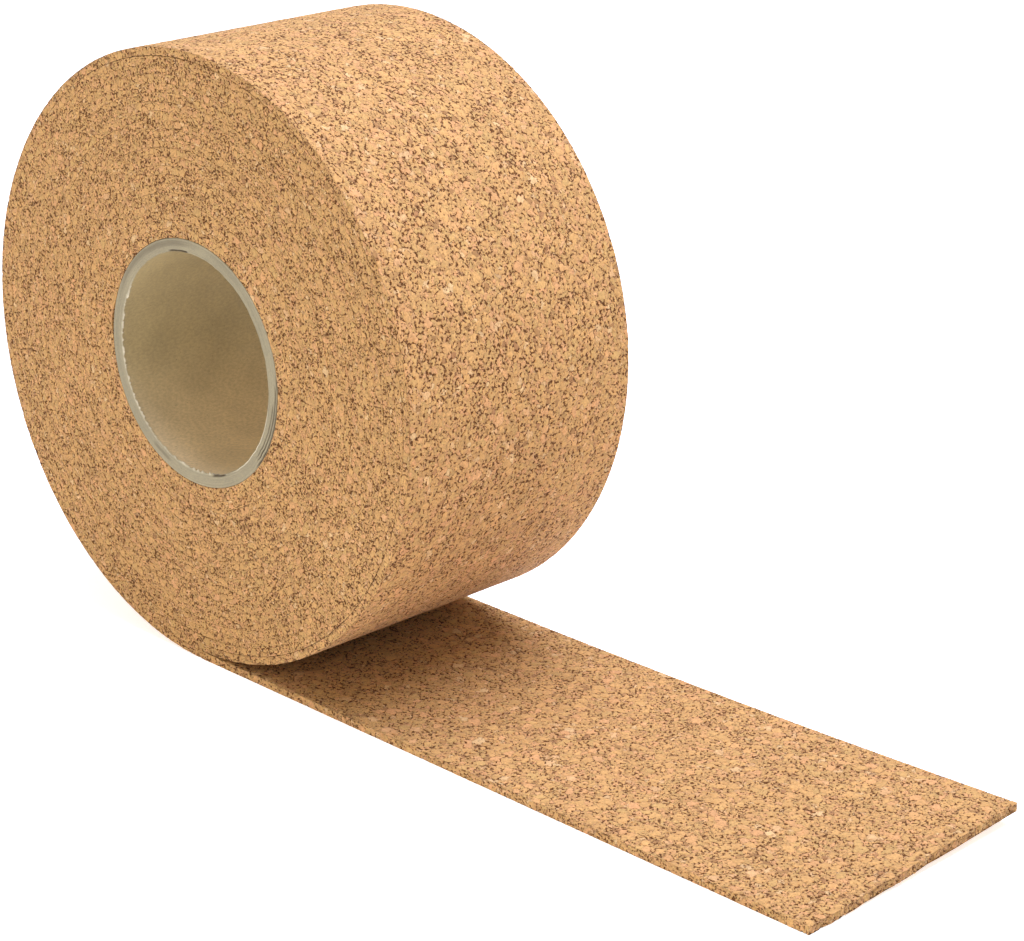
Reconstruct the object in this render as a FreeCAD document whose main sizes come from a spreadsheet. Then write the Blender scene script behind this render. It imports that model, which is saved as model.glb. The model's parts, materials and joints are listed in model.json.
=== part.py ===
import FreeCAD, Part
import math
import os

import Sketcher

# A roll of cork underlayment lying on its side, with the last stretch of the strip laid out flat.
# Origin: on the roll's axis, at the middle of the strip's width. +Y runs along the axis, +Z is up,
# and the free end of the strip runs along the floor towards +X.
# Seen from -Y, the strip leaves the core and winds outwards anticlockwise, so that the outermost
# turn comes down to six o'clock and goes straight on as the tail.

SIZES = {
    "bore_dia": 76.0,
    "core_wall": 4.5,
    "core_recess": 0.2,
    "core_edge_wear": 0.4,
    "strip_width": 100.0,
    "strip_thickness": 3.0,
    "turns": 21.5,
    "tail_length": 270.0,
    "crotch_gap": 0.2,
    "seam_turns": 10,
    "seam_width": 0.5,
    "seam_depth": 0.7,
}

QUARTERS = 4
RIGHT_ANGLE = 90.0

doc = FreeCAD.newDocument("cork_underlayment_roll")


def fill_sheet():
    """Put the driving dimensions into the document's spreadsheet, one to a row."""
    sheet = doc.addObject("Spreadsheet::Sheet", "sizes")
    for row, (name, size) in enumerate(SIZES.items(), start=1):
        sheet.set(f"A{row}", name)
        sheet.set(f"B{row}", str(size))
        sheet.setAlias(f"B{row}", name)
    doc.recompute()
    return sheet


def cell(name):
    return float(sheet.get(name))


# Sizes that follow from the sheet's, as expressions for the model to be bound to.
HALF_CORE = "(sizes.strip_width / 2 - sizes.core_recess)"
CORE_RADIUS = "(sizes.bore_dia / 2 + sizes.core_wall)"
ROLL_RADIUS = f"({CORE_RADIUS} + sizes.turns * sizes.strip_thickness)"
QUARTER_STEP = "(sizes.strip_thickness / 4)"
FIRST_ARC_RADIUS = f"({ROLL_RADIUS} - {QUARTER_STEP} / 2)"
CROTCH_ARC_RADIUS = f"({FIRST_ARC_RADIUS} - 3 * {QUARTER_STEP})"
CROTCH_X = (
    f"({QUARTER_STEP} / 2 + sqrt({CROTCH_ARC_RADIUS} ^ 2"
    f" - ({CROTCH_ARC_RADIUS} - sizes.crotch_gap) ^ 2))"
)
TAIL_TOP_DROP = f"({ROLL_RADIUS} - sizes.strip_thickness)"

sheet = fill_sheet()
core_length = cell("strip_width") - 2 * cell("core_recess")
core_radius = cell("bore_dia") / 2 + cell("core_wall")
roll_radius = core_radius + cell("turns") * cell("strip_thickness")
quarter_step = cell("strip_thickness") / QUARTERS
first_arc_radius = roll_radius - quarter_step / 2
crotch_arc_radius = first_arc_radius - 3 * quarter_step
crotch_angle = math.acos(1 - cell("crotch_gap") / crotch_arc_radius)
crotch_x = quarter_step / 2 + crotch_arc_radius * math.sin(crotch_angle)
tail_top_z = cell("strip_thickness") - roll_radius

# Points of a sketch's geometry, by Sketcher's numbering.
START, END, CENTRE = range(1, 4)
ORIGIN = (-1, START)


def origin_feature(body, role):
    return next(item for item in body.Origin.OriginFeatures if item.Role == role)


def new_sketch(body, name, plane, offset=None):
    """A sketch on one of the body's own origin planes, moved along its normal by an expression."""
    sketch = body.newObject("Sketcher::SketchObject", name)
    sketch.AttachmentSupport = [(origin_feature(body, plane), "")]
    sketch.MapMode = "FlatFace"
    if offset:
        sketch.setExpression("AttachmentOffset.Base.z", offset)
    doc.recompute()
    return sketch


def join(sketch, one, other):
    sketch.addConstraint(Sketcher.Constraint("Coincident", *one, *other))


def line_up(sketch, direction, one, other):
    """Keep two points level (Horizontal) or one above the other (Vertical)."""
    sketch.addConstraint(Sketcher.Constraint(direction, *one, *other))


def span(sketch, direction, one, other, size, expression):
    """Distance along one of the sketch's directions, from one point to the other, bound to the sheet."""
    index = sketch.addConstraint(Sketcher.Constraint(direction, *one, *other, size))
    sketch.setExpression(f"Constraints[{index}]", expression)


def set_radius(sketch, curve, size, expression):
    index = sketch.addConstraint(Sketcher.Constraint("Radius", curve, size))
    sketch.setExpression(f"Constraints[{index}]", expression)


def vector(across, up):
    return FreeCAD.Vector(across, up, 0)


def rectangle(sketch, left, right, bottom, top, spans):
    """Four sides, in order bottom, right, top, left. spans gives the expressions for the same limits."""
    corners = [vector(left, bottom), vector(right, bottom), vector(right, top), vector(left, top)]
    for here, there in zip(corners, corners[1:] + corners[:1]):
        sketch.addGeometry(Part.LineSegment(here, there))
    for side in range(4):
        join(sketch, (side, END), ((side + 1) % 4, START))
    for side, direction in enumerate(("Horizontal", "Vertical") * 2):
        sketch.addConstraint(Sketcher.Constraint(direction, side))
    span(sketch, "DistanceX", ORIGIN, (0, START), left, spans["left"])
    span(sketch, "DistanceX", ORIGIN, (0, END), right, spans["right"])
    span(sketch, "DistanceY", (0, START), ORIGIN, -bottom, spans["down"])
    span(sketch, "DistanceY", ORIGIN, (2, START), top, spans["up"])


def turned_ring(body, name, inner, outer, length, spans):
    """A ring turned about the roll's axis from its half section."""
    section = new_sketch(body, f"{name}_section", "XY_Plane")
    rectangle(section, inner, outer, -length / 2, length / 2, spans)
    ring = body.newObject("PartDesign::Revolution", name)
    ring.Profile = section
    ring.ReferenceAxis = (origin_feature(body, "Y_Axis"), [""])
    ring.Angle = 360
    doc.recompute()
    return ring


def core_tube():
    """The cardboard tube that the strip is wound on, its cut edges very slightly worn."""
    body = doc.addObject("PartDesign::Body", "core_tube")
    spans = {"left": "sizes.bore_dia / 2", "right": CORE_RADIUS, "down": HALF_CORE, "up": HALF_CORE}
    wall = turned_ring(body, "tube_wall", cell("bore_dia") / 2, core_radius, core_length, spans)
    rims = [
        f"Edge{number}"
        for number, edge in enumerate(wall.Shape.Edges, start=1)
        if isinstance(edge.Curve, Part.Circle)
    ]
    edges = body.newObject("PartDesign::Chamfer", "worn_edges")
    edges.Base = (wall, rims)
    edges.setExpression("Size", "sizes.core_edge_wear")
    doc.recompute()
    return body


def spiral_centre(quarter):
    """Centre of one quarter arc: the corners of a small square, taken in turn as the spiral winds in."""
    half = quarter_step / 2
    across = (half, -half, -half, half)[quarter % QUARTERS]
    up = (-half, -half, half, half)[quarter % QUARTERS]
    return across, up


def quarter_arc(quarter, radius, cut_short=0.0):
    """One quarter of the spiral. Quarter 0 runs from six to nine o'clock, seen from -Y, and quarter 3
    from three back to six, where cut_short is the angle that it stops before."""
    across, up = spiral_centre(quarter)
    first = math.radians(RIGHT_ANGLE * (2 - quarter % QUARTERS))
    last = first + math.radians(RIGHT_ANGLE)
    circle = Part.Circle(vector(across, up), FreeCAD.Vector(0, 0, 1), radius)
    return Part.ArcOfCircle(circle, first + cut_short, last)


def pin_centre(sketch, curve, quarter):
    """Hold an arc's centre at its corner of the square, half a quarter's step from the axis each way."""
    for direction, size in zip(("DistanceX", "DistanceY"), spiral_centre(quarter)):
        ends = (ORIGIN, (curve, CENTRE)) if size > 0 else ((curve, CENTRE), ORIGIN)
        span(sketch, direction, *ends, abs(size), f"{QUARTER_STEP} / 2")


def turn_and_tail_outline(body):
    """The strip's outside seen from its edge: one turn of the spiral, and the tail along the floor."""
    sketch = new_sketch(body, "turn_and_tail", "XZ_Plane")
    floor = -roll_radius
    tail_end = cell("tail_length")
    for quarter, cut_short in enumerate((0.0, 0.0, 0.0, crotch_angle)):
        sketch.addGeometry(quarter_arc(quarter, first_arc_radius - quarter * quarter_step, cut_short))
        pin_centre(sketch, quarter, quarter)
    for quarter in range(QUARTERS - 1):
        join(sketch, (quarter, START), (quarter + 1, END))
    for quarter, direction in enumerate(("Horizontal", "Vertical", "Horizontal")):
        line_up(sketch, direction, (quarter, CENTRE), (quarter, START))
    line_up(sketch, "Vertical", (0, CENTRE), (0, END))
    set_radius(sketch, 0, first_arc_radius, FIRST_ARC_RADIUS)

    crotch_top = vector(crotch_x, tail_top_z + cell("crotch_gap"))
    crotch_bottom = vector(crotch_x, tail_top_z)
    tip_top = vector(tail_end, tail_top_z)
    tip_bottom = vector(tail_end, floor)
    outline = [crotch_top, crotch_bottom, tip_top, tip_bottom, vector(quarter_step / 2, floor)]
    for here, there in zip(outline, outline[1:]):
        sketch.addGeometry(Part.LineSegment(here, there))
    crotch, top, tip, underside = range(QUARTERS, QUARTERS + 4)
    join(sketch, (QUARTERS - 1, START), (crotch, START))
    for side in (crotch, top, tip):
        join(sketch, (side, END), (side + 1, START))
    join(sketch, (underside, END), (0, END))
    for side, direction in zip((crotch, top, tip, underside), ("Vertical", "Horizontal") * 2):
        sketch.addConstraint(Sketcher.Constraint(direction, side))
    span(sketch, "DistanceY", (crotch, END), (crotch, START), cell("crotch_gap"), "sizes.crotch_gap")
    span(sketch, "DistanceY", (tip, END), (tip, START), cell("strip_thickness"), "sizes.strip_thickness")
    span(sketch, "DistanceX", ORIGIN, (tip, END), tail_end, "sizes.tail_length")

    inside = sketch.addGeometry(Part.Circle(vector(0, 0), FreeCAD.Vector(0, 0, 1), inner_turn_radius()))
    join(sketch, (inside, CENTRE), ORIGIN)
    set_radius(sketch, inside, inner_turn_radius(), f"{ROLL_RADIUS} - 3 * sizes.strip_thickness")
    doc.recompute()
    return sketch


def inner_turn_radius():
    """Where the outermost turn's outline gives way to the turned body within it."""
    return roll_radius - 3 * cell("strip_thickness")


def seam_path(body):
    """Line of the seam on the end face: in from the crotch, then round and round between the turns."""
    sketch = new_sketch(body, "seam_path", "XZ_Plane", "sizes.strip_width / 2")
    for quarter in range(QUARTERS * int(cell("seam_turns"))):
        radius = first_arc_radius - cell("strip_thickness") - quarter * quarter_step
        sketch.addGeometry(quarter_arc(quarter, radius))
        if quarter < QUARTERS:
            pin_centre(sketch, quarter, quarter)
        else:
            join(sketch, (quarter, CENTRE), (quarter - QUARTERS, CENTRE))
        line_up(sketch, ("Horizontal", "Vertical")[quarter % 2], (quarter, CENTRE), (quarter, START))
        if quarter > 0:
            join(sketch, (quarter - 1, START), (quarter, END))
    line_up(sketch, "Vertical", (0, CENTRE), (0, END))
    set_radius(
        sketch, 0, first_arc_radius - cell("strip_thickness"), f"{FIRST_ARC_RADIUS} - sizes.strip_thickness"
    )
    lead = sketch.addGeometry(
        Part.LineSegment(vector(crotch_x, tail_top_z), vector(quarter_step / 2, tail_top_z))
    )
    join(sketch, (lead, END), (0, END))
    sketch.addConstraint(Sketcher.Constraint("Horizontal", lead))
    span(sketch, "DistanceX", ORIGIN, (lead, START), crotch_x, CROTCH_X)
    doc.recompute()
    return sketch


def seam_section(body):
    """The seam's V section, its mouth on the end face and drawn on past it by the seam's own depth."""
    sketch = new_sketch(body, "seam_section", "YZ_Plane", CROTCH_X)
    face = -cell("strip_width") / 2
    mouth = cell("seam_width")
    depth = cell("seam_depth")
    low = vector(face - depth, tail_top_z - mouth)
    high = vector(face - depth, tail_top_z + mouth)
    point = vector(face + depth, tail_top_z)
    for here, there in ((low, high), (high, point), (point, low)):
        sketch.addGeometry(Part.LineSegment(here, there))
    for side in range(3):
        join(sketch, (side, END), ((side + 1) % 3, START))
    sketch.addConstraint(Sketcher.Constraint("Vertical", 0))
    half = "sizes.strip_width / 2"
    span(sketch, "DistanceY", (0, START), (0, END), 2 * mouth, "2 * sizes.seam_width")
    span(sketch, "DistanceY", (0, START), (2, START), mouth, "sizes.seam_width")
    span(sketch, "DistanceX", (2, START), ORIGIN, -point.x, f"{half} - sizes.seam_depth")
    span(sketch, "DistanceX", (0, START), ORIGIN, -low.x, f"{half} + sizes.seam_depth")
    span(sketch, "DistanceY", (2, START), ORIGIN, -tail_top_z, TAIL_TOP_DROP)
    doc.recompute()
    return sketch


def cork_strip():
    """The whole strip: the wound turns about the core, the outermost turn, and the flat tail."""
    body = doc.addObject("PartDesign::Body", "cork_strip")
    half = "sizes.strip_width / 2"
    wound_radius = roll_radius - 2 * cell("strip_thickness")
    spans = {
        "left": CORE_RADIUS,
        "right": f"{ROLL_RADIUS} - 2 * sizes.strip_thickness",
        "down": half,
        "up": half,
    }
    turned_ring(body, "wound_turns", core_radius, wound_radius, cell("strip_width"), spans)

    outline = turn_and_tail_outline(body)
    turn = body.newObject("PartDesign::Pad", "outer_turn_and_tail")
    turn.Profile = outline
    turn.SideType = "Symmetric"
    turn.setExpression("Length", "sizes.strip_width")
    doc.recompute()
    plain_volume = turn.Shape.Volume

    path = seam_path(body)
    section = seam_section(body)
    seam = body.newObject("PartDesign::SubtractivePipe", "end_seam")
    seam.Profile = section
    seam.Spine = (path, [f"Edge{number}" for number in range(1, len(path.Shape.Edges) + 1)])
    doc.recompute()
    front_volume = seam.Shape.Volume

    both = body.newObject("PartDesign::Mirrored", "both_end_seams")
    both.Originals = [seam]
    both.MirrorPlane = (origin_feature(body, "XZ_Plane"), [""])
    body.Tip = both
    doc.recompute()
    front_cut = plain_volume - front_volume
    back_cut = front_volume - both.Shape.Volume
    if front_cut <= 0 or abs(back_cut - front_cut) > 0.01 * front_cut:
        raise RuntimeError(f"the seam cut {front_cut:.2f} mm3 from one end and {back_cut:.2f} from the other")
    return body


def check_model(sub_parts):
    for item in doc.Objects:
        for fault in ("Invalid", "Error"):
            if fault in item.State:
                raise RuntimeError(f"{item.Label} is in state {item.State}")
    for body in sub_parts:
        shape = body.Shape
        if shape.isNull() or not shape.isValid():
            raise RuntimeError(f"{body.Label} has no valid shape")
        if len(shape.Solids) != 1:
            raise RuntimeError(f"{body.Label} has {len(shape.Solids)} solids")


def write_steps(sub_parts):
    os.makedirs("parts", exist_ok=True)
    for body in sub_parts:
        body.Shape.exportStep(f"parts/{body.Label}.step")
        box = body.Shape.BoundBox
        print(
            f"{body.Label}: {body.Shape.Volume / 1000:.1f} cm3,"
            f" {box.XLength:.1f} x {box.YLength:.1f} x {box.ZLength:.1f} mm"
        )


sub_parts = [core_tube(), cork_strip()]
doc.recompute()
check_model(sub_parts)
write_steps(sub_parts)
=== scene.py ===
"""A roll of cork underlayment with its loose end, wound on a cardboard core.

Laid out as an add-on: one operator for each group of pieces and one for the stage.
"""

import json
import math

import bpy
import numpy as np
from bpy.props import FloatProperty, FloatVectorProperty, PointerProperty
from mathutils import Matrix, Vector


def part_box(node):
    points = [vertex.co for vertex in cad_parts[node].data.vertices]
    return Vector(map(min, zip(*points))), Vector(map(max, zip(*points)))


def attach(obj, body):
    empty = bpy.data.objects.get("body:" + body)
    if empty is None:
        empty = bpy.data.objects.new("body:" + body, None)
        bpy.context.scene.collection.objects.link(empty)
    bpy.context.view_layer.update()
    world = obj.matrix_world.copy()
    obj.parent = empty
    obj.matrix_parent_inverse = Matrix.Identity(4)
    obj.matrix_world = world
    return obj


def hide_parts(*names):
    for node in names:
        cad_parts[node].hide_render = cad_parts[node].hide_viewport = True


bl_info = {
    "name": "Cork Underlayment Roll",
    "version": (1, 0, 0),
    "blender": (4, 5, 0),
    "location": "3D View > Sidebar > Cork Roll",
    "description": "Builds a roll of pressed cork strip with its loose end and its cardboard core",
    "category": "Object",
}

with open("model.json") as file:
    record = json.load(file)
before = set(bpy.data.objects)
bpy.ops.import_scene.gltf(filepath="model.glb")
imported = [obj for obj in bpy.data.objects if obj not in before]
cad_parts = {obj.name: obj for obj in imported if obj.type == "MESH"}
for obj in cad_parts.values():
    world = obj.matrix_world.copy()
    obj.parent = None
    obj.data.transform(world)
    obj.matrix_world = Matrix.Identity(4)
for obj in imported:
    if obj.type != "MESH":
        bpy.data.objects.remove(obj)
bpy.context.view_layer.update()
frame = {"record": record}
STRIP_LOW, STRIP_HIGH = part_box("cork_strip")
CORE_LOW, CORE_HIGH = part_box("core_tube")
BORE = next(m for m in frame["record"]["mounts"] if m["name"] == "bore")

# Python's own values
MM = 0.001
RIGHT_ANGLE = math.pi / 2
QUARTERS = 4

# Names of the values that the materials read from the meshes' points
PLACE = "strip_place"
SEAM = "seam"
CUT = "cut_face"
TUBE_PLACE = "tube_place"
PLY_GAP = "ply_gap"
PAPER = "paper"

# Room for the relief, so that the strip stays within the solid's width
RELIEF_ROOM = 0.3 * MM
# How far crumbled cork falls back from the cut end, at most
CRUMBLE = 0.6 * MM
# Rounding of the strip's edges, where they are open and where the turns press together
OPEN_EDGE = 0.15 * MM
TIGHT_EDGE = 0.06 * MM

# Gap between the core and the first turn: degrees from the top, half its reach, and its depth
CORE_GAP_SIDE = -82
CORE_GAP_REACH = 7
CORE_GAP = 1.1 * MM

# Share of the tail that lies flat before its end curls up
FLAT_SHARE = 0.25

# Degrees from six o'clock where the outermost seam shows best
CRISP_SEAM = 186
# Length that a quarter turn counts for in the random lines along the seams
SEAM_QUARTER = 0.11

# Slits in the core's ends, pressed in a little and painted dark as shade: clock angle, reach and fade
# in degrees. Then the place across the wall, waviness and width as shares of the wall, and darkness of
# the painted shade.
SLITS = (
    (108, 18, 4, 0.70, 1.0, 0.05, 1.0),
    (107, 22, 4, 0.95, 0.5, 0.07, 1.0),
    (112, 13, 4, 0.48, 1.0, 0.04, 0.8),
    (351, 6, 2, 0.06, 0.0, 0.07, 1.0),
    (162, 4, 2, 0.08, 0.0, 0.06, 1.0),
)
# How much further round the same marks sit on the core's back end, in degrees
BACK_TURN = 200

# Light that the white floor gives by itself, and the light all round
FLOOR_GLOW = 0.62
SKY_GLOW = 0.585

# The photograph's camera: its place, its azimuth, elevation and roll in degrees, and its lens
CAMERA_PLACE = (0.733369, -0.640249, 0.311628)
CAMERA_ANGLES = (44.693, 20.431, 0.419)
CAMERA_LENS = 104.40


class CorkRollSizes(bpy.types.PropertyGroup):
    """What a user would change in the shapes."""

    roll_radius: FloatProperty(
        name="Roll radius",
        description="From the core's axis to the underside of the tail",
        default=-STRIP_LOW.z,
        min=0.01,
        subtype="DISTANCE",
        unit="LENGTH",
    )
    strip_width: FloatProperty(
        name="Strip width",
        description="Width of the cork strip, along the core",
        default=STRIP_HIGH.y - STRIP_LOW.y,
        min=0.01,
        subtype="DISTANCE",
        unit="LENGTH",
    )
    strip_thickness: FloatProperty(
        name="Strip thickness",
        description="Thickness of the cork strip",
        default=3 * MM,
        min=0.5 * MM,
        precision=4,
        subtype="DISTANCE",
        unit="LENGTH",
    )
    tail_length: FloatProperty(
        name="Tail length",
        description="How far the loose end reaches, from the core's axis",
        default=STRIP_HIGH.x,
        min=0.01,
        subtype="DISTANCE",
        unit="LENGTH",
    )
    core_radius: FloatProperty(
        name="Core radius",
        description="Outside radius of the cardboard core",
        default=CORE_HIGH.z,
        min=0.005,
        subtype="DISTANCE",
        unit="LENGTH",
    )
    bore_radius: FloatProperty(
        name="Bore radius",
        description="Inside radius of the cardboard core",
        default=BORE["dims"]["r_mm"] * MM,
        min=0.005,
        subtype="DISTANCE",
        unit="LENGTH",
    )
    core_length: FloatProperty(
        name="Core length",
        description="Length of the cardboard core",
        default=CORE_HIGH.y - CORE_LOW.y,
        min=0.01,
        subtype="DISTANCE",
        unit="LENGTH",
    )
    end_step: FloatProperty(
        name="Mesh step on the ends",
        description="Length of the mesh faces along the strip's edges inside the roll",
        default=0.6 * MM,
        min=0.1 * MM,
        precision=5,
        subtype="DISTANCE",
        unit="LENGTH",
    )
    side_step: FloatProperty(
        name="Mesh step on the side",
        description="Size of the mesh faces on the roll's side",
        default=0.9 * MM,
        min=0.1 * MM,
        precision=5,
        subtype="DISTANCE",
        unit="LENGTH",
    )
    tail_step: FloatProperty(
        name="Mesh step on the tail",
        description="Size of the mesh faces on the tail's top",
        default=0.62 * MM,
        min=0.1 * MM,
        precision=5,
        subtype="DISTANCE",
        unit="LENGTH",
    )
    seam_groove: FloatProperty(
        name="Outermost seam",
        description="Depth of the groove inside the outermost turn, on the ends",
        default=0.5 * MM,
        min=0.0,
        precision=5,
        subtype="DISTANCE",
        unit="LENGTH",
    )
    inner_groove: FloatProperty(
        name="Inner seams",
        description="Depth of the grooves between the inner turns, on the ends",
        default=0.3 * MM,
        min=0.0,
        precision=5,
        subtype="DISTANCE",
        unit="LENGTH",
    )
    tail_curl: FloatProperty(
        name="Tail curl",
        description="How far the far corner of the loose end stands off the floor",
        default=4.2 * MM,
        min=0.0,
        precision=4,
        subtype="DISTANCE",
        unit="LENGTH",
    )


class CorkRollFinish(bpy.types.PropertyGroup):
    """What a user would change in the finishes."""

    granule: FloatProperty(
        name="Large granules",
        description="Middle distance between the large cork granules, in millimetres",
        default=3.0,
        min=0.5,
    )
    crumb: FloatProperty(
        name="Small granules",
        description="Middle distance between the small cork granules, in millimetres",
        default=1.8,
        min=0.3,
    )
    cut_scale: FloatProperty(
        name="Finer on cut faces",
        description="How much smaller the granules look where the strip is cut through",
        default=1.3,
        min=0.5,
    )
    tan: FloatVectorProperty(
        name="Tan cork",
        description="Colour of most granules",
        default=(0.565, 0.304, 0.102),
        min=0.0,
        max=1.0,
        subtype="COLOR",
    )
    peach: FloatVectorProperty(
        name="Peach cork",
        description="Colour of the redder granules",
        default=(0.61, 0.303, 0.12),
        min=0.0,
        max=1.0,
        subtype="COLOR",
    )
    straw: FloatVectorProperty(
        name="Straw cork",
        description="Colour of the yellower granules",
        default=(0.535, 0.308, 0.102),
        min=0.0,
        max=1.0,
        subtype="COLOR",
    )
    pale: FloatVectorProperty(
        name="Pale cork",
        description="Colour of the lightest granules",
        default=(0.65, 0.41, 0.18),
        min=0.0,
        max=1.0,
        subtype="COLOR",
    )
    # Painted shade: the granules' rims beside the hollows, tinted orange-brown.
    hollow_rim_shade: FloatVectorProperty(
        name="Shading",
        description="Colour of the granules' edges beside the hollows",
        default=(0.44, 0.168, 0.032),
        min=0.0,
        max=1.0,
        subtype="COLOR",
    )
    bark: FloatVectorProperty(
        name="Bark",
        description="Colour of the dark bits of bark",
        default=(0.23, 0.098, 0.034),
        min=0.0,
        max=1.0,
        subtype="COLOR",
    )
    # Painted shade in the hollows between the granules, which the relief also presses in.
    hollow: FloatVectorProperty(
        name="Hollows",
        description="Colour of the gaps between the granules",
        default=(0.095, 0.03, 0.004),
        min=0.0,
        max=1.0,
        subtype="COLOR",
    )
    cardboard: FloatVectorProperty(
        name="Cardboard",
        description="Colour of the core's cardboard",
        default=(0.40, 0.30, 0.135),
        min=0.0,
        max=1.0,
        subtype="COLOR",
    )
    cardboard_cut: FloatVectorProperty(
        name="Cut cardboard",
        description="Colour of the core's cut ends",
        default=(0.305, 0.25, 0.142),
        min=0.0,
        max=1.0,
        subtype="COLOR",
    )
    # Painted light: the bore's lower side is painted paler, for light that falls into the bore.
    cardboard_lit: FloatVectorProperty(
        name="Lit cardboard",
        description="Colour of the bore's paler lower side",
        default=(0.74, 0.56, 0.32),
        min=0.0,
        max=1.0,
        subtype="COLOR",
    )
    # Where the bore's painted light is centred.
    lit_side: FloatProperty(
        name="Lit side",
        description="Middle of the bore's paler side, in millimetres round it from the top",
        default=125.0,
    )
    paper: FloatVectorProperty(
        name="Paper edge",
        description="Colour of the torn inner ply",
        default=(0.72, 0.62, 0.42),
        min=0.0,
        max=1.0,
        subtype="COLOR",
    )
    # Painted shade inside the slits and gaps between the plies on the core's ends.
    gap: FloatVectorProperty(
        name="Ply gaps",
        description="Colour inside the gaps between the plies",
        default=(0.10, 0.07, 0.035),
        min=0.0,
        max=1.0,
        subtype="COLOR",
    )
    floor: FloatVectorProperty(
        name="Floor",
        description="Colour of the floor",
        default=(0.9, 0.9, 0.9),
        min=0.0,
        max=1.0,
        subtype="COLOR",
    )


class Wire:
    """A node's output. Python's operators on it add Math nodes."""

    def __init__(self, board, socket):
        self.board = board
        self.socket = socket

    def other(self, output):
        """Another output of the same node."""
        return Wire(self.board, self.socket.node.outputs[output])

    def __add__(self, value):
        return self.board.math("ADD", self, value)

    def __sub__(self, value):
        return self.board.math("SUBTRACT", self, value)

    def __rsub__(self, value):
        return self.board.math("SUBTRACT", value, self)

    def __mul__(self, value):
        return self.board.math("MULTIPLY", self, value)

    def __gt__(self, value):
        return self.board.math("GREATER_THAN", self, value)


class Board:
    """The nodes of a material or of a geometry group."""

    def __init__(self, tree):
        self.tree = tree

    def node(self, kind, settings=None, sockets=None, output=0):
        """One node: its settings, then the values or links of its sockets."""
        made = self.tree.nodes.new(kind)
        for name, value in (settings or {}).items():
            if name == "stops":
                ramp = made.color_ramp
                while len(ramp.elements) < len(value):
                    ramp.elements.new(1.0)
                for element, (place, colour) in zip(ramp.elements, value, strict=True):
                    element.position = place
                    element.color = (*colour, 1.0)
            else:
                setattr(made, name, value)
        for name, value in (sockets or {}).items():
            if isinstance(value, Wire):
                self.tree.links.new(value.socket, made.inputs[name])
            else:
                made.inputs[name].default_value = value
        return Wire(self, made.outputs[output]) if made.outputs else made

    def math(self, operation, first, second):
        return self.node("ShaderNodeMath", {"operation": operation}, {0: first, 1: second})

    def vector(self, operation, first, second, third=(0.0, 0.0, 0.0)):
        values = {0: first, "Scale" if operation == "SCALE" else 1: second}
        if operation == "MULTIPLY_ADD":
            values[2] = third
        return self.node("ShaderNodeVectorMath", {"operation": operation}, values)

    def split(self, vector):
        parts = self.node("ShaderNodeSeparateXYZ", None, {0: vector})
        return parts, parts.other(1), parts.other(2)

    def ramp(self, value, low, high, start=0.0, end=1.0):
        """start below low, end above high, and a smooth step between."""
        return self.node(
            "ShaderNodeMapRange",
            {"interpolation_type": "SMOOTHSTEP"},
            {"Value": value, "From Min": low, "From Max": high, "To Min": start, "To Max": end},
        )

    def mix(self, factor, first, second):
        return self.node("ShaderNodeMix", {"data_type": "FLOAT"}, {0: factor, 2: first, 3: second})

    def mix_vector(self, factor, first, second):
        return self.node(
            "ShaderNodeMix", {"data_type": "VECTOR"}, {0: factor, 4: first, 5: second}, output=1
        )

    def mix_colour(self, factor, first, second):
        first, second = (v if isinstance(v, Wire) else (*v, 1.0) for v in (first, second))
        return self.node(
            "ShaderNodeMix", {"data_type": "RGBA"}, {0: factor, 6: first, 7: second}, output=2
        )

    def noise(self, place, scale, detail=1.0, roughness=0.5):
        return self.node(
            "ShaderNodeTexNoise",
            None,
            {"Vector": place, "Scale": scale, "Detail": detail, "Roughness": roughness},
        )

    def cells(self, place, pitch, feature="F1"):
        return self.node(
            "ShaderNodeTexVoronoi", {"feature": feature}, {"Vector": place, "Scale": 1.0 / pitch}
        )


def cork_pattern(board, place, finish):
    """The granules at a place on the unrolled strip, in millimetres."""
    warp = board.vector("SUBTRACT", board.noise(place, 0.6, 2.0, 0.6).other(1), (0.5, 0.5, 0.5))
    bent = board.vector("MULTIPLY_ADD", warp, (2.4, 2.4, 2.4), place)
    pressed = board.vector("MULTIPLY", bent, (1.0, 1.0, 1.2))
    large = board.cells(pressed, finish.granule).other(1)
    small = board.cells(pressed, finish.crumb).other(1)
    large_edge = board.cells(pressed, finish.granule, "DISTANCE_TO_EDGE") * finish.granule
    small_edge = board.cells(pressed, finish.crumb, "DISTANCE_TO_EDGE") * finish.crumb
    whole = board.split(large)[2] > 0.72
    both = board.math("MINIMUM", large_edge, small_edge)
    edge = board.mix(whole, both, large_edge)
    tone = board.mix_vector(whole, small, large)
    level = board.ramp(board.noise(place, 0.16, 1.0), 0.35, 0.65, -0.03, 0.03)
    presence = board.ramp(board.noise(place, 0.95, 2.0) + level, 0.5, 0.66)
    opening = presence * 0.36 + 0.01
    return {
        "edge": edge,
        "tone": tone,
        # The hollows are pressed into the relief and painted dark as shade; the halo is painted shade
        # on the granules' rims beside them.
        "hollow": board.ramp(edge, opening * 0.25, opening, 1.0, 0.0),
        "halo": board.ramp(edge, 0.0, opening + 0.5, 1.0, 0.0) * presence,
        "bent": bent,
        "whole": whole,
    }


def cork_height(board, pattern):
    """How far the surface stands below its highest granules, in millimetres, as a negative number."""
    tilt = board.split(pattern["tone"])[1]
    dome = board.ramp(pattern["edge"], 0.0, 0.45, -0.08, 0.0)
    return dome - pattern["hollow"] * 0.3 - tilt * 0.07


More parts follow.
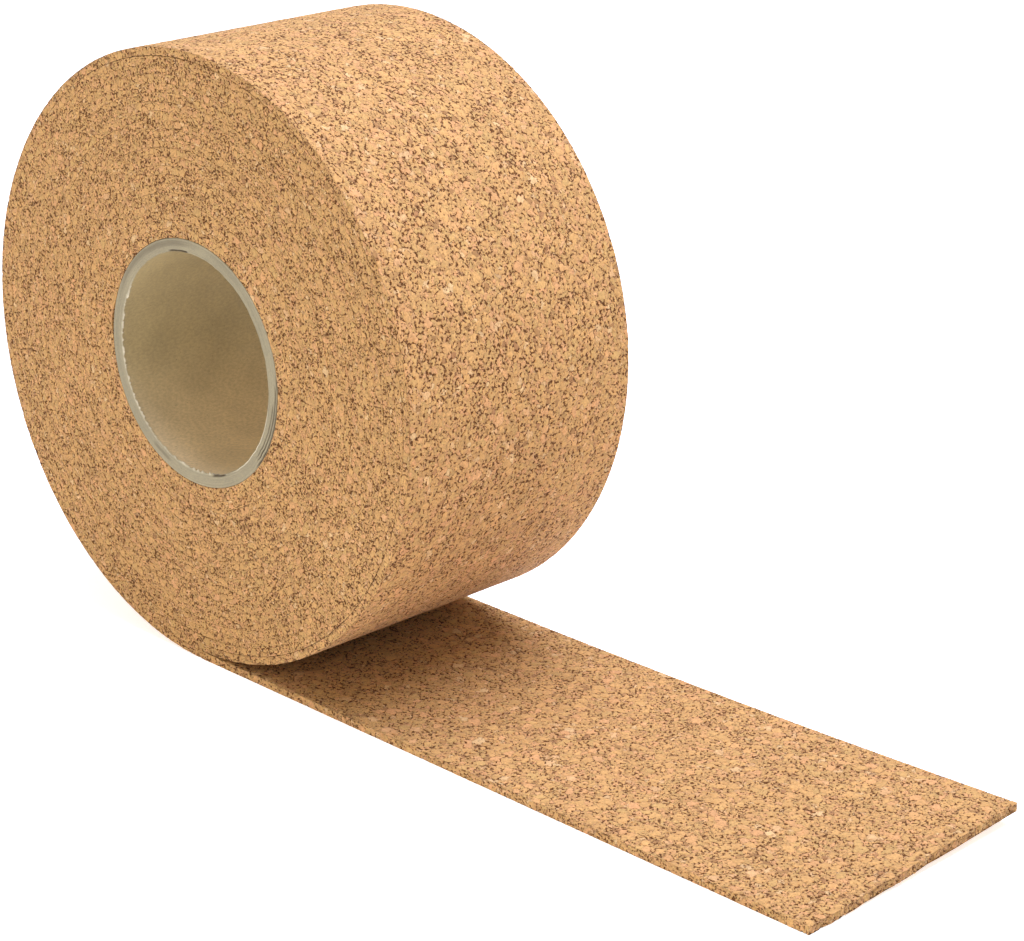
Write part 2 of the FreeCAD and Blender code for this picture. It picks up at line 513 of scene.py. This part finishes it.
def relief_tree(finish):
    """A geometry group that stores the cork's height, with each point's position read as its place."""
    tree = bpy.data.node_groups.new("cork_relief", "GeometryNodeTree")
    tree.interface.new_socket(name="Geometry", in_out="INPUT", socket_type="NodeSocketGeometry")
    tree.interface.new_socket(name="Geometry", in_out="OUTPUT", socket_type="NodeSocketGeometry")
    board = Board(tree)
    geometry = board.node("NodeGroupInput")
    place = board.node("GeometryNodeInputPosition")
    pattern = cork_pattern(board, place, finish)
    crumble = board.ramp(board.noise(place, 0.45, 3.0, 0.6), 0.5, 0.78)
    for name, value in (("relief", cork_height(board, pattern)), ("crumble", crumble)):
        geometry = board.node(
            "GeometryNodeStoreNamedAttribute",
            {"data_type": "FLOAT", "domain": "POINT"},
            {"Geometry": geometry, "Name": name, "Value": value},
        )
    board.node("NodeGroupOutput", None, {0: geometry})
    return tree


def read_relief(place, finish):
    """The cork's height and how crumbled it is, at places on the strip in millimetres."""
    mesh = bpy.data.meshes.new("places")
    mesh.vertices.add(len(place))
    mesh.vertices.foreach_set("co", place.astype(np.float32).ravel())
    points = bpy.data.objects.new("places", mesh)
    bpy.context.scene.collection.objects.link(points)
    modifier = points.modifiers.new("relief", "NODES")
    modifier.node_group = relief_tree(finish)
    seen = points.evaluated_get(bpy.context.evaluated_depsgraph_get()).data
    values = np.zeros((2, len(place)), np.float32)
    for name, row in zip(("relief", "crumble"), values, strict=True):
        seen.attributes[name].data.foreach_get("value", row)
    group = modifier.node_group
    bpy.data.objects.remove(points)
    bpy.data.meshes.remove(mesh)
    bpy.data.node_groups.remove(group)
    return values


# The strip


class Winding:
    """Where the strip lies. Its run is measured from six o'clock: the tail is before 0."""

    def __init__(self, sizes):
        self.sizes = sizes
        self.thick = sizes.strip_thickness
        self.step = self.thick / QUARTERS
        depth = sizes.roll_radius - self.thick - sizes.core_radius
        self.quarters = round(QUARTERS * depth / self.thick)
        radius = sizes.roll_radius - self.step / 2 - self.step * np.arange(self.quarters)
        lengths = (radius - self.thick / 2) * RIGHT_ANGLE
        self.run_at = np.concatenate([[0.0], np.cumsum(lengths)])

    def turned(self, run):
        """Quarter turns from six o'clock, inwards."""
        return np.interp(run, self.run_at, np.arange(len(self.run_at)))

    def points(self, run, across, height):
        """Points at places on the strip. The height is measured from its inner side."""
        sizes = self.sizes
        turned = self.turned(run)
        quarter = np.floor(turned)
        radius = sizes.roll_radius - self.step / 2 - quarter * self.step - self.thick + height
        corner = quarter % QUARTERS
        angle = turned * RIGHT_ANGLE
        x = np.where((corner == 0) | (corner == 3), 0.5, -0.5) * self.step
        z = np.where(corner < 2, -0.5, 0.5) * self.step
        x = x - radius * np.sin(angle)
        z = z - radius * np.cos(angle)
        flat = FLAT_SHARE * sizes.tail_length
        share = np.clip((-run - flat) / (sizes.tail_length - flat), 0, 1)
        side = np.clip(across / sizes.strip_width + 0.5, 0, 1)
        curl = sizes.tail_curl * share**2 * side**1.2
        x = np.where(run < 0, -run, x)
        z = np.where(run < 0, self.thick - sizes.roll_radius - height + curl, z)
        return np.stack([x, np.broadcast_to(across, x.shape), z], -1)

    def slack(self, run):
        """How far the first turn's inner side reaches down to the core, below a true spiral."""
        bare = self.points(run, 0.0, np.zeros(1))
        radius = np.hypot(bare[..., 0], bare[..., 2])
        side = np.degrees(np.arctan2(bare[..., 0], bare[..., 2]))
        gap = CORE_GAP * np.exp(-(((side - CORE_GAP_SIDE) / CORE_GAP_REACH) ** 2))
        slack = radius - self.sizes.core_radius - 0.1 * MM - gap
        return np.where(run > self.run_at[-1 - QUARTERS], np.maximum(slack, -CORE_GAP), 0.0)


def wander(run, period, seed):
    """A smooth random line between -1 and 1 along a run."""
    draw = np.random.default_rng(seed)
    first = math.floor(run.min() / period) - 1
    values = draw.uniform(-1, 1, math.ceil(run.max() / period) - first + 3)
    at = run / period - first
    whole = np.floor(at).astype(int)
    share = at - whole
    share = share * share * (3 - 2 * share)
    return values[whole] * (1 - share) + values[whole + 1] * share


def sector(clock, centre, reach, edge=4.0):
    """1 within reach of a clock angle in degrees, fading to 0 past its edge."""
    away = np.abs((clock - centre + 180) % 360 - 180)
    return np.clip((reach + edge - away) / edge, 0, 1)


def columns(reach, count, height, up):
    """Evenly spaced points of the outline on the strip's outer or inner side."""
    if count == 0:
        return []
    return [(y, height, 0.0, up, 0.0, 0.0) for y in np.linspace(-reach, reach, count + 1)]


def cross_section(sizes, rows, outer_columns, inner_columns, rounding):
    """The strip's outline, front edge first: across, height, the way out, near a seam, cut."""
    half = sizes.strip_width / 2
    thick = sizes.strip_thickness
    slant = math.sqrt(0.5)
    cut = rounding * (1 - slant)
    front = [(-half + cut, cut, -slant, -slant, 1.0, 1.0)]
    for share in rows:
        front.append((-half, rounding + share * (thick - 2 * rounding), -1.0, 0.0, 0.0, 1.0))
    front.append((-half + cut, thick - cut, -slant, slant, 1.0, 1.0))
    back = [(-y, h, -out, *rest) for y, h, out, *rest in reversed(front)]
    outer = columns(half - rounding, outer_columns, thick, 1.0)
    inner = columns(half - rounding, inner_columns, 0.0, -1.0)[::-1]
    names = ("across", "height", "out", "up", "seam", "cut")
    section = dict(zip(names, np.array(front + outer + back + inner).T, strict=True))
    section["front"] = list(range(len(front)))
    section["outer"] = list(range(len(front), len(front) + len(outer)))
    start = len(front) + len(outer)
    section["back"] = list(range(start, start + len(back)))
    section["inner"] = list(range(start + len(back), start + len(back) + len(inner)))
    return section


def skin_faces(steps, around, wrap=False):
    """The quads of a skin whose outline has `around` points and is carried over `steps`."""
    i = np.arange(steps if wrap else steps - 1)[:, None]
    j = np.arange(around)[None, :]
    onward, turn = (i + 1) % steps, (j + 1) % around
    quads = [i * around + j, onward * around + j, onward * around + turn, i * around + turn]
    return np.stack(quads, -1).reshape(-1, 4).tolist()


def make_piece(name, points, faces, values, material, sharp=()):
    """A smooth mesh object with values on its points, sharp edges and one material."""
    mesh = bpy.data.meshes.new(name)
    mesh.from_pydata(points.reshape(-1, 3), [], faces)
    mesh.polygons.foreach_set("use_smooth", [True] * len(mesh.polygons))
    for key, value in values.items():
        vector = value.shape[-1] == 3
        made = mesh.attributes.new(key, "FLOAT_VECTOR" if vector else "FLOAT", "POINT")
        flat = value.astype(np.float32).ravel()
        made.data.foreach_set("vector" if vector else "value", flat)
    if sharp:
        ends = np.zeros(len(mesh.edges) * 2, np.int32)
        mesh.edges.foreach_get("vertices", ends)
        marked = {tuple(sorted(edge)) for edge in sharp}
        mark = [tuple(sorted(edge)) in marked for edge in ends.reshape(-1, 2).tolist()]
        mesh.attributes.new("sharp_edge", "BOOLEAN", "EDGE").data.foreach_set("value", mark)
    mesh.materials.append(material)
    piece = bpy.data.objects.new(name, mesh)
    bpy.context.scene.collection.objects.link(piece)
    return piece


def cork_grain(place, cut, finish):
    """Height and crumbling at places on the strip. A cut face shows smaller granules."""
    scale = np.where(cut > 0.5, finish.cut_scale, 1.0)
    flat = (place * scale[..., None]).reshape(-1, 3)
    relief, crumble = read_relief(flat, finish)
    return relief.reshape(cut.shape) / scale * MM, crumble.reshape(cut.shape) * MM


def seam_opening(winding, run, height):
    """The seam beside each point: how open, how deep and how worn it is, and how free its sides."""
    key = winding.turned(run) - np.where(height > winding.thick / 2, QUARTERS, 0)
    around = key * SEAM_QUARTER
    crisp = 0.2 + 0.65 * sector(key * 90, CRISP_SEAM, 24, 20)
    outermost = np.clip(crisp + 0.4 * wander(around, 0.017, 21), 0.0, 1.0)
    outermost = outermost * np.clip(0.8 + 0.6 * wander(around, 0.0031, 22), 0.1, 1.0)
    inner = np.clip(1.7 * wander(around, 0.011, 23) - 1.0, 0.0, 0.7)
    outside = key < QUARTERS
    opening = np.where((key > 0) & (run > 0), np.where(outside, outermost, inner), 0.0)
    groove = np.where(outside, winding.sizes.seam_groove, winding.sizes.inner_groove)
    wear = np.where(outside, 1.0, 0.25)
    free = np.where(key > 0, np.where(outside, 0.5, 0.0), 1.0)
    return opening, opening * groove, wear, free


def strip_skin(winding, section, finish, run):
    """The strip's points over its outline, with their places, seams and cut faces."""
    thick = winding.thick
    run = run[:, None]
    shape = (run.size, section["across"].size)
    slack = winding.slack(run)
    height = section["height"][None, :] * (thick + slack) / thick - slack
    across = np.broadcast_to(section["across"], shape)
    cut = np.broadcast_to(section["cut"], shape)
    along = np.broadcast_to(run, shape)
    place = np.stack([along, across, height], -1) / MM
    relief, crumble = cork_grain(place, cut, finish)

    opening, groove, wear, free = seam_opening(winding, along, height)
    # How far each seam is open: its groove, and how much painted shade it gets.
    seam = section["seam"] * opening
    groove = section["seam"] * groove
    nick = np.clip(crumble * 0.7, 0, 0.55 * MM) * section["seam"] * wear
    slip = 0.08 * MM * wander(run, 0.11, 5) + 0.03 * MM * wander(run, 0.013, 6)
    outward = np.sign(section["across"])
    across = across * (1 - RELIEF_ROOM / winding.sizes.strip_width) + slip
    across = across + section["out"] * (relief - nick) - outward * groove
    height = height + section["up"] * free * np.minimum(relief - nick * (seam == 0), 0)
    return along, across, height, {PLACE: place, SEAM: seam, CUT: cut}, crumble


def closed_strip(name, start, end, step, section, winding, finish, cut_end=False):
    """A stretch of the strip as a closed piece. Its first end may be the strip's cut end."""
    steps = max(2, round((end - start) / step)) + 1
    run = np.linspace(start, end, steps)
    along, across, height, values, crumble = strip_skin(winding, section, finish, run)
    around = section["across"].size
    faces = skin_faces(steps, around)
    values = {key: value.reshape(steps * around, -1) for key, value in values.items()}
    first = list(range(around))
    last = [(steps - 1) * around + j for j in first]
    faces.append(last[::-1])
    if cut_end:
        along = along.copy()
        ragged = cut_line(section["across"])
        along[0] += ragged + np.clip(crumble[0] * 0.8, 0, CRUMBLE)
    points = winding.points(along, across, height).reshape(-1, 3)
    if cut_end:
        points, faces, values = cut_cap(points, faces, values, section, winding, finish, start)
    else:
        faces.append(first)
    sharp = [(ring[j], ring[(j + 1) % around]) for ring in (first, last) for j in first]
    corners = [] if section["outer"] else [section["front"][-1], section["back"][0]]
    corners += [] if section["inner"] else [section["front"][0], section["back"][-1]]
    sharp += [(i + j, i + j + around) for j in corners for i in range(0, last[0], around)]
    piece = make_piece(name, points, faces, values, cork_material(finish), sharp)
    dress(piece, "cork_strip")


def cut_line(across):
    """How far the cut end falls short of the strip's full length."""
    return 0.3 * MM * (1 + wander(across, 0.009, 11)) + 0.25 * MM * (1 + wander(across, 0.0012, 12))


def cut_cap(points, faces, values, section, winding, finish, start):
    """Close the strip's cut end with a fine grid between the rims of its outline."""
    front, back, outer = section["front"], section["back"][::-1], section["outer"]
    inner = section["inner"][::-1]
    inside = front[1:-1]
    across, height = np.meshgrid(section["across"][inner], section["height"][inside])
    place = np.stack([np.full_like(across, start), across, height], -1) / MM
    cut = np.ones_like(across)
    relief, crumble = cork_grain(place, cut, finish)
    along = start + cut_line(across) - 1.5 * relief + np.clip(crumble * 0.6, 0, CRUMBLE)
    made = winding.points(along, across * (1 - RELIEF_ROOM / winding.sizes.strip_width), height)
    grid = len(points) + np.arange(across.size).reshape(across.shape)
    rows = [[front[0], *inner, back[0]]]
    rows += [[front[r], *grid[r - 1].tolist(), back[r]] for r in inside]
    for above, below in zip(rows, rows[1:]):
        for c in range(len(above) - 1):
            faces.append([above[c], below[c], below[c + 1], above[c + 1]])
    fine, floor = rows[-1], [front[-1], *outer, back[-1]]
    fine_across = section["across"][inner]
    nearest = [int(np.abs(fine_across - section["across"][o]).argmin()) for o in outer]
    reach = [0, *(1 + place for place in nearest), len(fine) - 1]
    for k, (low, high) in enumerate(zip(reach, reach[1:])):
        faces.append([fine[low], floor[k], floor[k + 1], *fine[low + 1 : high + 1][::-1]])
    # A seam value of 0.36 gives the cut end patches of painted shade over its crumbled face.
    extra = {PLACE: place.reshape(-1, 3), SEAM: 0.36 * cut.reshape(-1, 1), CUT: cut.reshape(-1, 1)}
    values = {key: np.concatenate([value, extra[key]]) for key, value in values.items()}
    return np.concatenate([points, made.reshape(-1, 3)]), faces, values


# Finishes


def new_material(name):
    """An empty material and the board of its nodes."""
    material = bpy.data.materials.new(name)
    material.use_nodes = True
    material.node_tree.nodes.clear()
    return material, Board(material.node_tree)


def cork_material(finish):
    """Pressed cork granules, from tan to peach and straw. The hollows between them are pressed in and
    painted dark as shade, with painted shade on their rims.
    """
    found = bpy.data.materials.get("cork_agglomerate")
    if found:
        return found
    material, board = new_material("cork_agglomerate")
    strip = board.node("ShaderNodeAttribute", {"attribute_name": PLACE}, output="Vector")
    seam = board.node("ShaderNodeAttribute", {"attribute_name": SEAM}, output="Fac")
    cut = board.node("ShaderNodeAttribute", {"attribute_name": CUT}, output="Fac") > 0.5
    finer = board.vector("MULTIPLY", strip, (finish.cut_scale,) * 3)
    place = board.mix_vector(cut, strip, finer)
    pattern = cork_pattern(board, place, finish)
    hue, light, odd = board.split(pattern["tone"])
    stops = [
        (0.0, finish.straw),
        (0.3, finish.tan),
        (0.6, finish.tan),
        (0.93, finish.peach),
        (1.0, finish.pale),
    ]
    granule = board.node("ShaderNodeValToRGB", {"stops": stops}, {"Fac": hue})
    patch = board.noise(strip, 0.1, 2.0)
    fine = board.noise(pattern["bent"], 1.1, 4.0, 0.72)
    shade = board.ramp(light, 0.0, 1.0, 0.95, 1.06) * board.ramp(patch, 0.3, 0.7, 0.96, 1.04)
    shade = shade * board.ramp(fine, 0.32, 0.68, 0.8, 1.17)
    # Painted shade: the granules a little darker near their borders.
    shade = shade * board.ramp(pattern["edge"], 0.0, 0.2, 0.9, 1.0)
    granule = board.vector("SCALE", granule, shade)
    # Painted shade on the rims beside the hollows.
    granule = board.mix_colour(pattern["halo"] * 0.85, granule, finish.hollow_rim_shade)
    bark = board.ramp(odd, 0.95, 0.97) * (1.0 - pattern["whole"])
    granule = board.mix_colour(bark * 0.6, granule, finish.bark)
    specks = board.cells(place, 1.5)
    speck = board.ramp(specks, 0.12, 0.24, 1.0, 0.0) * (board.split(specks.other(1))[0] > 0.84)
    # Painted shade in the open seams between the turns, broken up by noise, and in patches on the cut
    # end.
    seam_shade = board.ramp(seam, 0.2, 0.6) * board.ramp(board.noise(strip, 0.8, 2.0), 0.36, 0.52)
    # Painted shade in the hollows, with the dark specks and the seams' painted shade.
    dark = board.math("MAXIMUM", pattern["hollow"] * 0.95, speck * 0.75)
    dark = board.math("MAXIMUM", dark, seam_shade)
    colour = board.mix_colour(dark, granule, finish.hollow)
    height = cork_height(board, pattern) + board.noise(pattern["bent"], 2.6, 3.0, 0.6) * 0.07
    height = height - speck * 0.12
    bump = board.node("ShaderNodeBump", None, {"Strength": 0.8, "Distance": MM, "Height": height})
    shader = board.node(
        "ShaderNodeBsdfPrincipled",
        None,
        {
            "Base Color": colour,
            "Roughness": board.math("MAXIMUM", board.ramp(fine, 0.3, 0.7, 0.7, 0.88), dark),
            "Specular IOR Level": 0.13,
            "Sheen Weight": 0.06,
            "Sheen Roughness": 0.6,
            "Normal": bump,
        },
    )
    board.node("ShaderNodeOutputMaterial", None, {"Surface": shader})
    return material


def cardboard_material(finish, half):
    """Cardboard with fibres and dark specks, a lower side of the bore painted paler as light, painted
    shade in the gaps of the cut ends, and cut ends that show the plies.
    """
    found = bpy.data.materials.get("core_cardboard")
    if found:
        return found
    material, board = new_material("core_cardboard")
    place = board.node("ShaderNodeAttribute", {"attribute_name": TUBE_PLACE}, output="Vector")
    gap = board.node("ShaderNodeAttribute", {"attribute_name": PLY_GAP}, output="Fac")
    paper = board.node("ShaderNodeAttribute", {"attribute_name": PAPER}, output="Fac")
    around, along, _ = board.split(place)
    fibres = board.noise(board.vector("MULTIPLY", place, (1.0, 0.5, 3.0)), 1.3, 4.0, 0.7)
    cloud = board.noise(place, 0.07, 2.0)
    specks = board.cells(place, 2.2)
    speck = board.ramp(specks, 0.05, 0.13, 1.0, 0.0) * (board.split(specks.other(1))[0] > 0.6)
    shade = board.ramp(fibres, 0.32, 0.68, 0.87, 1.13) * board.ramp(cloud, 0.3, 0.7, 0.94, 1.06)
    shade = shade - speck * 0.3
    ends = board.ramp(board.math("ABSOLUTE", along, 0.0), half - 0.25, half - 0.1)
    plies = board.noise(board.vector("MULTIPLY", place, (0.02, 0.0, 2.2)), 1.0, 2.0)
    shade = shade * board.mix(ends, 1.0, board.ramp(plies, 0.3, 0.7, 0.9, 1.08))
    base = board.mix_colour(ends, finish.cardboard, finish.cardboard_cut)
    # Painted light: paler round the bore's lower side, where light falls into it.
    low = board.ramp(board.math("ABSOLUTE", around - finish.lit_side, 0.0), 4.0, 56.0, 1.0, 0.0)
    base = board.mix_colour(low * (1.0 - ends), base, finish.cardboard_lit)
    base = board.mix_colour(paper, base, finish.paper)
    base = board.vector("SCALE", base, shade)
    height = fibres * 0.05 + plies * ends * 0.08
    bump = board.node("ShaderNodeBump", None, {"Strength": 0.6, "Distance": MM, "Height": height})
    shader = board.node(
        "ShaderNodeBsdfPrincipled",
        None,
        {
            # Painted shade in the slits and the fold, and the other dark patch.
            "Base Color": board.mix_colour(gap, base, finish.gap),
            "Roughness": board.ramp(fibres, 0.3, 0.7, 0.6, 0.8),
            "Specular IOR Level": 0.4,
            "Normal": bump,
        },
    )
    board.node("ShaderNodeOutputMaterial", None, {"Surface": shader})
    return material


def dress(piece, node):
    """Fix a piece to the roll, and hide the solid it stands for."""
    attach(piece, "root")
    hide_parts(node)


def groups(context):
    """The user's sizes and finishes."""
    return context.scene.cork_roll_sizes, context.scene.cork_roll_finish


class CorkRollTurns(bpy.types.Operator):
    """Build the inner turns of the wound strip, in three stretches"""

    bl_idname = "object.cork_roll_turns"
    bl_label = "Inner Turns"

    def execute(self, context):
        sizes, finish = groups(context)
        winding = Winding(sizes)
        section = cross_section(sizes, (0.0, 0.09, 0.36, 0.64, 0.91, 1.0), 0, 0, TIGHT_EDGE)
        limits = np.linspace(winding.run_at[QUARTERS], winding.run_at[-1] - 0.2 * MM, 4)
        names = ("cork_turns_outer", "cork_turns_middle", "cork_turns_inner")
        for name, start, end in zip(names, limits, limits[1:]):
            closed_strip(name, start, end, sizes.end_step, section, winding, finish)
        return {"FINISHED"}


class CorkRollLastTurn(bpy.types.Operator):
    """Build the outermost turn, whose outer face is the roll's side"""

    bl_idname = "object.cork_roll_last_turn"
    bl_label = "Outermost Turn"

    def execute(self, context):
        sizes, finish = groups(context)
        count = round(sizes.strip_width / sizes.side_step)
        section = cross_section(sizes, (0.0, 0.1, 0.4, 0.7, 1.0), count, 0, OPEN_EDGE)
        winding = Winding(sizes)
        end = winding.run_at[QUARTERS]
        closed_strip("cork_last_turn", 0.0, end, sizes.side_step, section, winding, finish)
        return {"FINISHED"}


class CorkRollTail(bpy.types.Operator):
    """Build the loose end that lies on the floor"""

    bl_idname = "object.cork_roll_tail"
    bl_label = "Tail"

    def execute(self, context):
        sizes, finish = groups(context)
        count = round(sizes.strip_width / sizes.tail_step)
        section = cross_section(sizes, (0.0, 0.25, 0.5, 0.75, 1.0), 20, count, OPEN_EDGE)
        start, step = -sizes.tail_length, sizes.tail_step
        closed_strip("cork_tail", start, 0.0, step, section, Winding(sizes), finish, cut_end=True)
        return {"FINISHED"}


def line(share, centre, width):
    """1 within half a width of a place across the core's wall, fading to 0 past it."""
    return np.clip(1.5 - np.abs(share - centre) / width, 0, 1)


def core_marks(clock, share):
    """An end's slits painted dark as shade, dark patches, raised ply and torn paper. The share is 0 at
    the bore.
    """
    bend = 0.05 * np.sin(np.radians(clock * 5))
    slit = np.zeros(np.broadcast_shapes(clock.shape, share.shape))
    for centre, reach, fade, place, waves, width, darkness in SLITS:
        mark = darkness * sector(clock, centre, reach, fade) * line(share, place + waves * bend, width)
        slit = np.maximum(slit, mark)
    # Dark patches: at 328 degrees painted shade of a folded ply, at 207 degrees a darker patch.
    dark_patch = 0.42 * sector(clock, 328, 24, 16) * line(share, 0.68 + bend, 0.2)
    dark_patch = dark_patch + 0.45 * sector(clock, 207, 5, 3) * line(share, 0.42, 0.16)
    ply = sector(clock, 124, 20, 8) * line(share, 0.07, 0.03)
    torn = sector(clock, 234, 66, 10) * np.clip(1 - share / 0.1, 0, 1)
    return slit, dark_patch, ply, torn


def core_outline(sizes, lip):
    """The core's section from the bore's back mouth round to the back end: radii, then places."""
    half = sizes.core_length / 2
    radii = np.linspace(sizes.bore_radius + lip, sizes.core_radius - lip, 26)
    mouth = half - lip - np.array([0, 0.3, 0.7, 1.3, 2.2]) * MM
    bore = np.concatenate([mouth, np.linspace(mouth[-1], -mouth[-1], 26)[1:-1], -mouth[::-1]])
    outline = [(sizes.bore_radius, y) for y in bore] + [(r, -half) for r in radii]
    outline += [(sizes.core_radius, -half + lip), (sizes.core_radius, half - lip)]
    outline += [(r, half) for r in radii[::-1]]
    return np.array(outline).T


class CorkRollCore(bpy.types.Operator):
    """Build the cardboard core, with slits painted dark as shade and torn paper on its ends"""

    bl_idname = "object.cork_roll_core"
    bl_label = "Cardboard Core"

    def execute(self, context):
        sizes, finish = groups(context)
        around, lip = 520, 0.15 * MM
        half = sizes.core_length / 2
        inner, outer = sizes.bore_radius, sizes.core_radius
        radius, y = core_outline(sizes, lip)[:, None, :]
        angle = np.linspace(0, 2 * math.pi, around, endpoint=False)[:, None]
        share = (radius - inner) / (outer - inner) + 0 * angle
        side = np.where(y > 0, -1, 1)
        clock = np.degrees(angle) * side + np.where(side < 0, BACK_TURN, 0)
        slit, dark_patch, ply, torn = core_marks(clock, share)

        at_end = np.abs(y) > half - 0.5 * lip
        depth = np.where(at_end, 0.5 * slit - 0.15 * ply, 0.0) * MM
        near = np.exp(-np.clip(half - np.abs(y), 0, None) / (0.5 * MM))
        fray = np.random.default_rng(4).uniform(0, 1, (around, 1)) ** 2
        tuft = np.clip(0.2 + wander(angle, 0.024, 33) + 0.7 * wander(angle, 0.011, 34), 0, 1)
        torn = torn * near * (0.26 + 0.74 * tuft * (0.6 + 0.4 * fray))
        made_radius = radius - 1.5 * MM * torn - 0.12 * MM * wander(angle, 0.05, 31) * near
        made_radius = np.where(share > 0.95, radius, made_radius)
        made_y = y - np.sign(y) * (depth + 0.1 * MM * fray * torn)
        x, z = made_radius * np.sin(angle), made_radius * np.cos(angle)
        points = np.stack([x, made_y + 0 * angle, z], -1)
        place = np.stack([angle * inner + 0 * y, y + 0 * angle, radius - inner + 0 * angle], -1)
        # Painted shade in the slits and the fold, and the other dark patch, on the ends.
        gap = np.where(at_end, np.maximum(slit, dark_patch), 0.0)
        paper = np.clip(np.where(at_end, 0.8 * ply, 0.0) + 1.3 * torn, 0, 1)
        values = {TUBE_PLACE: place / MM, PLY_GAP: gap, PAPER: paper + 0 * angle}
        values = {key: value.reshape(points[..., 0].size, -1) for key, value in values.items()}
        faces = skin_faces(around, radius.size, wrap=True)
        material = cardboard_material(finish, half / MM)
        piece = make_piece("cardboard_core", points, faces, values, material)
        dress(piece, "core_tube")
        return {"FINISHED"}


class CorkRollStage(bpy.types.Operator):
    """Build the floor, the lights and the camera"""

    bl_idname = "object.cork_roll_stage"
    bl_label = "Stage"

    def execute(self, context):
        sizes, finish = groups(context)
        self.floor(-sizes.roll_radius, finish)
        self.sky(context.scene)
        self.light("top_softbox", (0.25, 0.35, 1.5), 1.4, 34.0, (0.96, 1.04, 1.4))
        self.light("front_fill", (0.6, -1.6, 0.7), 1.2, 4.5, (1.0, 0.99, 0.93))
        self.camera(context.scene)
        return {"FINISHED"}

    def floor(self, level, finish):
        """A wide white floor under the roll."""
        mesh = bpy.data.meshes.new("floor")
        reach = 6.0
        corners = [(-reach, -reach), (reach, -reach), (reach, reach), (-reach, reach)]
        mesh.from_pydata([(x, y, level) for x, y in corners], [], [(0, 1, 2, 3)])
        material, board = new_material("floor_white")
        shader = board.node(
            "ShaderNodeBsdfPrincipled",
            None,
            {
                "Base Color": (*finish.floor, 1.0),
                "Roughness": 0.9,
                "Specular IOR Level": 0.2,
                "Emission Color": (1.0, 1.0, 1.0, 1.0),
                "Emission Strength": FLOOR_GLOW,
            },
        )
        board.node("ShaderNodeOutputMaterial", None, {"Surface": shader})
        mesh.materials.append(material)
        floor = bpy.data.objects.new("floor", mesh)
        bpy.context.scene.collection.objects.link(floor)

    def sky(self, scene):
        """An even white studio all round."""
        world = bpy.data.worlds.new("studio")
        world.use_nodes = True
        background = world.node_tree.nodes["Background"]
        background.inputs["Color"].default_value = (1, 1, 1, 1)
        background.inputs["Strength"].default_value = SKY_GLOW
        scene.world = world
        scene.view_settings.view_transform = "Standard"

    def camera(self, scene):
        """The camera, turned by its angles about the upright axis, the level one and its own."""
        camera = bpy.data.cameras.new("camera")
        camera.lens = CAMERA_LENS
        camera.sensor_width = 36.0
        camera.clip_start, camera.clip_end = 0.05, 50.0
        azimuth, elevation, roll = (math.radians(angle) for angle in CAMERA_ANGLES)
        out = Vector((math.sin(azimuth), -math.cos(azimuth), 0.0))
        back = out * math.cos(elevation) + Vector((0.0, 0.0, math.sin(elevation)))
        right = Vector((math.cos(azimuth), math.sin(azimuth), 0.0))
        tilted_right = right * math.cos(roll) + back.cross(right) * math.sin(roll)
        tilted_up = back.cross(tilted_right)
        turn = Matrix((tilted_right, tilted_up, back)).transposed().to_4x4()
        turn.translation = Vector(CAMERA_PLACE)
        holder = bpy.data.objects.new("camera", camera)
        holder.matrix_world = turn
        scene.collection.objects.link(holder)
        scene.camera = holder

    def light(self, name, place, size, power, colour):
        """A round soft light that is aimed at the roll."""
        lamp = bpy.data.lights.new(name, "AREA")
        lamp.shape = "DISK"
        lamp.size = size
        lamp.energy = power
        lamp.color = colour
        holder = bpy.data.objects.new(name, lamp)
        holder.location = place
        aim = Vector((0.06, 0.0, -0.03)) - Vector(place)
        holder.rotation_euler = aim.to_track_quat("-Z", "Y").to_euler()
        bpy.context.scene.collection.objects.link(holder)


class CorkRollPanel(bpy.types.Panel):
    """The cork roll's sizes, finishes and operators."""

    bl_idname = "VIEW3D_PT_cork_roll"
    bl_label = "Cork Roll"
    bl_space_type = "VIEW_3D"
    bl_region_type = "UI"
    bl_category = "Cork Roll"

    def draw(self, context):
        for group in groups(context):
            box = self.layout.box()
            for name in group.__annotations__:
                box.prop(group, name)
        for operator in BUILDERS:
            self.layout.operator(operator.bl_idname)


BUILDERS = (CorkRollTurns, CorkRollLastTurn, CorkRollTail, CorkRollCore, CorkRollStage)
CLASSES = (CorkRollSizes, CorkRollFinish, *BUILDERS, CorkRollPanel)


def register():
    for made in CLASSES:
        bpy.utils.register_class(made)
    bpy.types.Scene.cork_roll_sizes = PointerProperty(type=CorkRollSizes)
    bpy.types.Scene.cork_roll_finish = PointerProperty(type=CorkRollFinish)


def unregister():
    del bpy.types.Scene.cork_roll_finish
    del bpy.types.Scene.cork_roll_sizes
    for made in reversed(CLASSES):
        bpy.utils.unregister_class(made)


def main():
    register()
    bpy.ops.object.cork_roll_turns()
    bpy.ops.object.cork_roll_last_turn()
    bpy.ops.object.cork_roll_tail()
    bpy.ops.object.cork_roll_core()
    bpy.ops.object.cork_roll_stage()


if __name__ == "__main__":
    main()
